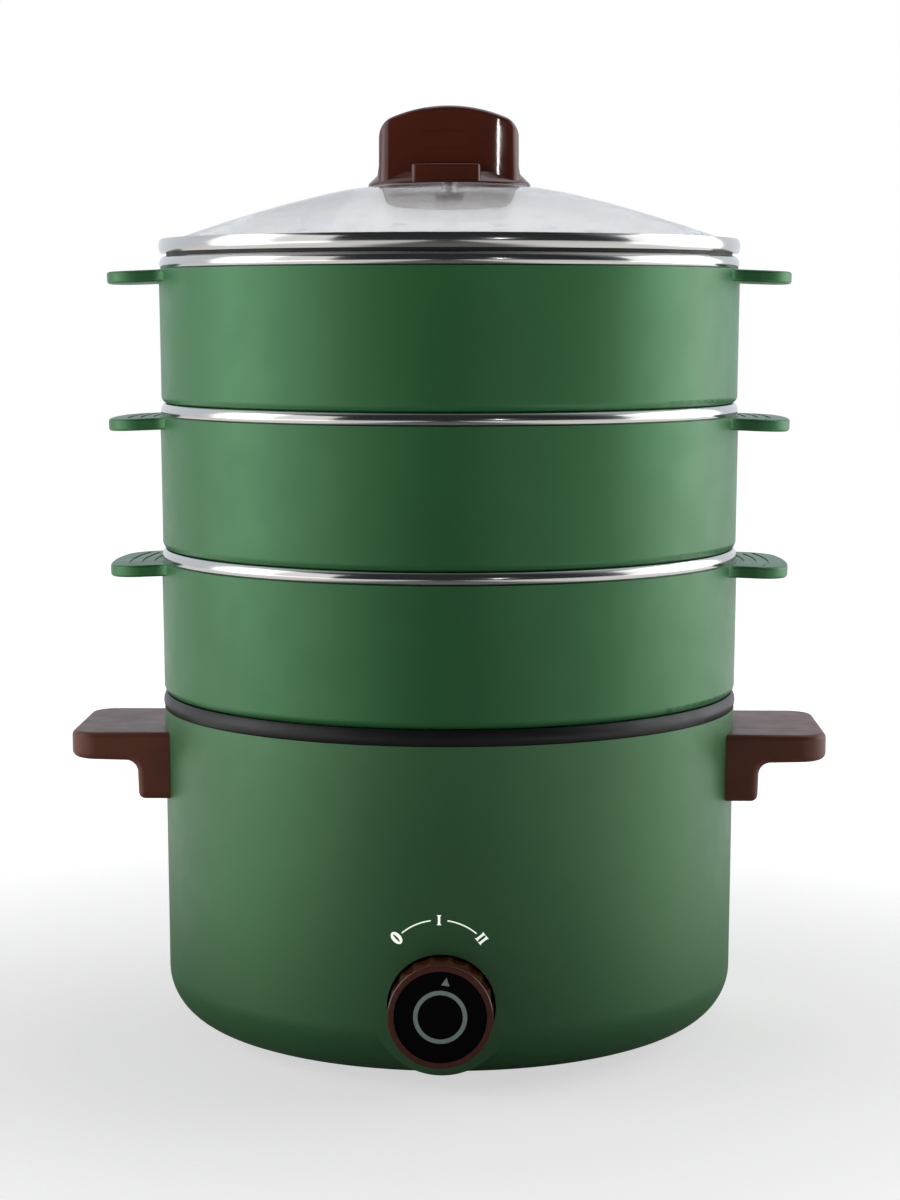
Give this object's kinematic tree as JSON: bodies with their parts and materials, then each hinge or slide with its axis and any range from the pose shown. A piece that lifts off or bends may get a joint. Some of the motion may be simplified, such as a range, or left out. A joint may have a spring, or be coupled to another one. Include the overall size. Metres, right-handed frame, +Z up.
{
  "type": "electric food steamer",
  "caption": "Round electric food steamer: heated base with a dial and side handles, a stack of eared steaming tiers and a domed glass lid with a knob.",
  "frame": {"origin": "on the worktop plane under the middle of the pot", "axes": "+Z up, -Y towards the dial at the front, +X to the right as seen from the front"},
  "size_m": [0.3476, 0.283, 0.4264],
  "materials": {
    "green_paint": "moulded plastic under a satin paint with a fine grain",
    "green_plastic": "satin moulded plastic in the paint's green",
    "black_plastic": "satin black moulding",
    "nonstick": "cast aluminium under a dark non-stick coating",
    "steel": "plain bright steel",
    "polished_steel": "polished stainless steel",
    "aluminium": "mill finish sheet",
    "brass": "plain brass",
    "foot_rubber": "matt black rubber",
    "fuse_sleeve": "woven glass sleeve",
    "brown_plastic": "satin moulded plastic",
    "brown_gloss": "glossy moulded plastic",
    "dial_black": "glossy black face",
    "dial_marks": "thin pale printed ink",
    "lid_glass": "clear tempered glass",
    "black_silicone": "black silicone",
    "clear_silicone": "clear silicone",
    "brown_wire": "silicone insulation",
    "blue_wire": "silicone insulation",
    "green_yellow_wire": "silicone insulation"
  },
  "bodies": {
    "base": {"housing": "green_paint", "rim_ring": "black_plastic", "inner_pot": "nonstick", "pot_posts": "steel", "bottom_screws": "steel", "bottom_cover": "black_plastic", "front_left_foot": "foot_rubber", "front_right_foot": "foot_rubber", "rear_left_foot": "foot_rubber", "rear_right_foot": "foot_rubber", "heating_element": "steel", "thermostat": "steel", "heat_shield": "aluminium", "thermal_fuse": "fuse_sleeve", "rotary_switch": "black_plastic", "switch_nut": "brass", "power_inlet": "black_plastic", "inlet_blades": "brass", "inlet_screws": "steel", "right_handle": "brown_plastic", "left_handle": "brown_plastic", "handle_screws": "steel", "live_wire": "brown_wire", "fuse_wire": "brown_wire", "control_wire": "brown_wire", "element_wire": "brown_wire", "neutral_wire": "blue_wire", "earth_wire": "green_yellow_wire"},
    "dial": {"dial_knob": "brown_gloss", "dial_face": "dial_black", "dial_shaft": "steel"},
    "lower_tier": {"lower_shell": "green_plastic", "lower_tray": "polished_steel"},
    "middle_tier": {"middle_shell": "green_plastic", "middle_tray": "polished_steel"},
    "upper_tier": {"upper_shell": "green_plastic", "upper_tray": "polished_steel"},
    "lid": {"lid_glass": "lid_glass", "lid_rim": "polished_steel", "lid_seal": "black_silicone", "lid_knob": "brown_gloss", "knob_gasket": "clear_silicone", "knob_screw": "steel"}
  },
  "joints": [
    {"name": "dial_turn", "type": "hinge", "parent": "base", "child": "dial", "pos_m": [0, -0.1232, 0.0386], "axis": [0, -1, 0], "range_deg": [-22.2, 40.2]},
    {"name": "lower_tier_lift", "type": "slide", "parent": "base", "child": "lower_tier", "axis": [0, 0, 1], "range_m": [0, 0.12]},
    {"name": "middle_tier_lift", "type": "slide", "parent": "lower_tier", "child": "middle_tier", "axis": [0, 0, 1], "range_m": [0, 0.12]},
    {"name": "upper_tier_lift", "type": "slide", "parent": "middle_tier", "child": "upper_tier", "axis": [0, 0, 1], "range_m": [0, 0.12]},
    {"name": "lid_lift", "type": "slide", "parent": "upper_tier", "child": "lid", "axis": [0, 0, 1], "range_m": [0, 0.12]}
  ]
}
